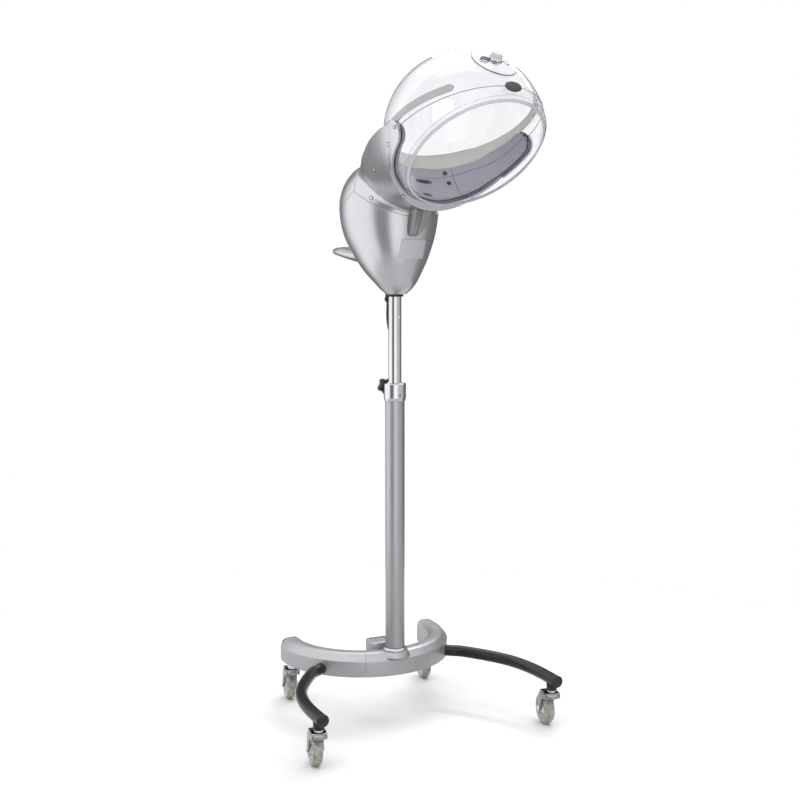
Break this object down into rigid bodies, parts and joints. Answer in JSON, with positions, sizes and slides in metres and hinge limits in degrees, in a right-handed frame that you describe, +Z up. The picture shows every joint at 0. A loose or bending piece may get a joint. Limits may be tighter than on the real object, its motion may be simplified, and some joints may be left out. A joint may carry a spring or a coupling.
{
  "type": "hooded salon steamer on a wheeled stand",
  "caption": "Clear dome steamer hood with visor ring on a silver teardrop head, height-adjustable column and horseshoe base with curved black legs and swivel casters.",
  "frame": {"origin": "bottom centre of the bounding box, on the floor under the wheels", "axes": "+Z up along the column, front of the stand towards -Y, left side -X"},
  "size_m": [0.5766, 0.6402, 1.405],
  "materials": {
    "silver_paint": "satin silver metallic paint",
    "dark_insert": "fine textured grey insert",
    "liner_plastic": "satin lavender grey plastic",
    "black_gloss": "gloss black powder coat",
    "black_plastic": "black moulded plastic",
    "chrome": "polished chrome plate",
    "steel": "zinc plated steel",
    "boiler_shell": "heat resistant moulded shell",
    "clear_acrylic": "clear polished acrylic",
    "band_plastic": "translucent beige grey plastic",
    "pad_plastic": "dark brown grey plastic",
    "tyre_polyurethane": "translucent olive grey polyurethane",
    "label": "plain printed plate, no text"
  },
  "bodies": {
    "stand": {"base_frame": "steel", "base_cover_left": "silver_paint", "base_cover_middle": "silver_paint", "base_cover_right": "silver_paint", "base_end_cap_left": "black_plastic", "base_end_cap_right": "black_plastic", "rear_block": "silver_paint", "rear_block_pad": "dark_insert", "leg_left": "black_gloss", "leg_right": "black_gloss", "leg_cap_left": "black_plastic", "leg_cap_right": "black_plastic", "caster_front_left_stem": "steel", "caster_front_right_stem": "steel", "caster_rear_left_stem": "steel", "caster_rear_right_stem": "steel", "column_tube": "silver_paint", "column_flange": "silver_paint", "clamp_collar": "chrome", "collar_set_screw": "steel"},
    "clamp": {"clamp_knob": "black_plastic"},
    "turner": {"guide_bush": "black_plastic"},
    "head": {"mast_tube": "chrome", "stop_pin": "steel", "cable_grommet": "black_plastic", "head_lead": "black_plastic", "lead_gland": "black_plastic", "body_lower_shell": "silver_paint", "body_rear_cover": "silver_paint", "bottom_ring": "black_plastic", "mast_socket": "steel", "boiler": "boiler_shell", "rear_handle": "silver_paint", "rating_plate": "label", "drip_spout": "silver_paint", "cradle_outer": "silver_paint", "cradle_liner": "liner_plastic", "hood_pivot_left": "steel", "hood_pivot_right": "steel", "steam_band": "band_plastic"},
    "hood": {"dome": "clear_acrylic", "visor_ring": "clear_acrylic", "oval_pad": "pad_plastic"},
    "vent": {"vent_disc": "clear_acrylic", "vent_knob": "clear_acrylic"},
    "fork_front_left": {"caster_front_left_fork": "chrome", "caster_front_left_axle": "steel"},
    "wheel_front_left": {"caster_front_left_wheel": "tyre_polyurethane"},
    "fork_front_right": {"caster_front_right_fork": "chrome", "caster_front_right_axle": "steel"},
    "wheel_front_right": {"caster_front_right_wheel": "tyre_polyurethane"},
    "fork_rear_left": {"caster_rear_left_fork": "chrome", "caster_rear_left_axle": "steel"},
    "wheel_rear_left": {"caster_rear_left_wheel": "tyre_polyurethane"},
    "fork_rear_right": {"caster_rear_right_fork": "chrome", "caster_rear_right_axle": "steel"},
    "wheel_rear_right": {"caster_rear_right_wheel": "tyre_polyurethane"}
  },
  "joints": [
    {"name": "mast_turn", "type": "hinge", "parent": "stand", "child": "turner", "pos_m": [-0.00394, 0.07451, 0.69], "axis": [0, 0, 1], "range_deg": [-60, 60]},
    {"name": "mast_height", "type": "slide", "parent": "turner", "child": "head", "axis": [0, 0, 1], "range_m": [-0.095, 0.16]},
    {"name": "clamp_turn", "type": "hinge", "parent": "stand", "child": "clamp", "pos_m": [-0.00394, 0.11451, 0.722], "axis": [0, 1, 0], "range_deg": [-90, 180]},
    {"name": "hood_tilt", "type": "hinge", "parent": "head", "child": "hood", "pos_m": [0.03567, -0.1622, 1.244], "axis": [-0.9863, -0.165, 0], "range_deg": [0, 20]},
    {"name": "vent_turn", "type": "hinge", "parent": "hood", "child": "vent", "pos_m": [0.04675, -0.26328, 1.37394], "axis": [0.0671, -0.6126, 0.7875], "range_deg": [0, 90]},
    {"name": "swivel_front_left", "type": "hinge", "parent": "stand", "child": "fork_front_left", "pos_m": [-0.27094, -0.13949, 0.075], "axis": [0, 0, 1], "continuous": true},
    {"name": "roll_front_left", "type": "hinge", "parent": "fork_front_left", "child": "wheel_front_left", "pos_m": [-0.26486, -0.10502, 0.0335], "axis": [0.9848, -0.1736, 0], "continuous": true},
    {"name": "swivel_front_right", "type": "hinge", "parent": "stand", "child": "fork_front_right", "pos_m": [0.26306, -0.13949, 0.075], "axis": [0, 0, 1], "continuous": true},
    {"name": "roll_front_right", "type": "hinge", "parent": "fork_front_right", "child": "wheel_front_right", "pos_m": [0.26914, -0.10502, 0.0335], "axis": [0.9848, -0.1736, 0], "continuous": true},
    {"name": "swivel_rear_left", "type": "hinge", "parent": "stand", "child": "fork_rear_left", "pos_m": [-0.17594, 0.25201, 0.075], "axis": [0, 0, 1], "continuous": true},
    {"name": "roll_rear_left", "type": "hinge", "parent": "fork_rear_left", "child": "wheel_rear_left", "pos_m": [-0.16986, 0.28648, 0.0335], "axis": [0.9848, -0.1736, 0], "continuous": true},
    {"name": "swivel_rear_right", "type": "hinge", "parent": "stand", "child": "fork_rear_right", "pos_m": [0.16806, 0.25201, 0.075], "axis": [0, 0, 1], "continuous": true},
    {"name": "roll_rear_right", "type": "hinge", "parent": "fork_rear_right", "child": "wheel_rear_right", "pos_m": [0.17414, 0.28648, 0.0335], "axis": [0.9848, -0.1736, 0], "continuous": true}
  ]
}
